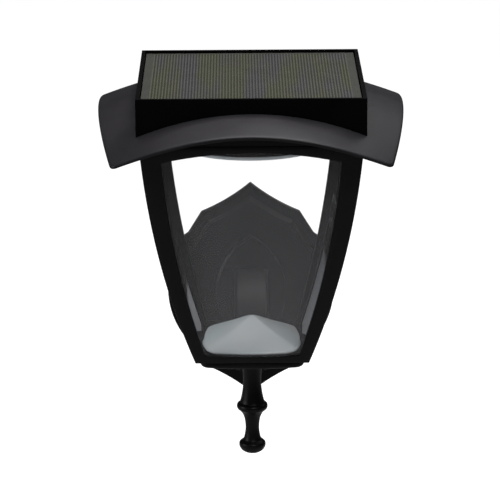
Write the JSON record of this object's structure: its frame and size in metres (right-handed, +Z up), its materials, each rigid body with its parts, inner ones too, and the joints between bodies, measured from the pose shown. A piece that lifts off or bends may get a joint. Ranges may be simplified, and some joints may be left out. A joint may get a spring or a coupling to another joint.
{
  "type": "solar wall lantern",
  "caption": "Solar wall lantern: bowed four-sided body with clear panes on a bracket arm and shield plate, cushion roof with square solar panel, LED lens and drop finial.",
  "frame": {"origin": "centre of the hanger bar's back face, on the wall plane y = 0, at the centre of the wall plate", "axes": "+X to the right seen from in front, -Y out from the wall, +Z up"},
  "size_m": [0.2044, 0.2122, 0.27],
  "materials": {
    "black_plastic": "satin black ABS, UV-stable",
    "clear_pane": "clear polycarbonate",
    "white_reflector": "soft gloss white ABS",
    "lens": "ribbed translucent polycarbonate",
    "solar": "amorphous cell under clear laminate, fine metal fingers",
    "foam_tape": "closed-cell adhesive foam",
    "zinc_steel": "zinc plated",
    "black_screw": "black oxide",
    "led_board": "white solder mask on aluminium",
    "led": "phosphor",
    "circuit_board": "green solder mask",
    "battery_sleeve": "shrink sleeve",
    "contact": "nickel plated spring steel",
    "switch_button": "gloss dark red"
  },
  "bodies": {
    "hanger": {"hanger_bar": "zinc_steel"},
    "lantern": {"wall_plate": "black_plastic", "arm": "black_plastic", "arm_screws": "zinc_steel", "cage": "black_plastic", "pane_front": "clear_pane", "pane_back": "clear_pane", "pane_left": "clear_pane", "pane_right": "clear_pane", "base_pan": "black_plastic", "pan_screws": "black_screw", "reflector": "white_reflector", "finial": "black_plastic", "finial_stud": "zinc_steel", "stud_nut": "zinc_steel", "stud_washer": "zinc_steel"},
    "head": {"roof_shell": "black_plastic", "panel_housing": "black_plastic", "solar_laminate": "solar", "panel_tape": "foam_tape", "head_tray": "black_plastic", "head_screws": "black_screw", "lens": "lens", "lens_ring": "black_plastic", "ring_screws": "zinc_steel", "led_board": "led_board", "leds": "led", "controller_board": "circuit_board", "controller_screws": "zinc_steel", "battery_cell": "battery_sleeve", "battery_cradle": "black_plastic", "battery_contacts": "contact", "switch_body": "black_plastic", "switch_nut": "zinc_steel"},
    "button": {"switch_button": "switch_button"}
  },
  "joints": [
    {"name": "lift_off", "type": "slide", "parent": "hanger", "child": "lantern", "axis": [0, 0, 1], "range_m": [0, 0.009]},
    {"name": "head_lift", "type": "slide", "parent": "lantern", "child": "head", "axis": [0, 0, 1], "range_m": [0, 0.03]},
    {"name": "switch_press", "type": "slide", "parent": "head", "child": "button", "axis": [0, 0, 1], "range_m": [0, 0.002], "stiffness_N_per_m": 800, "springref_m": -0.002}
  ]
}
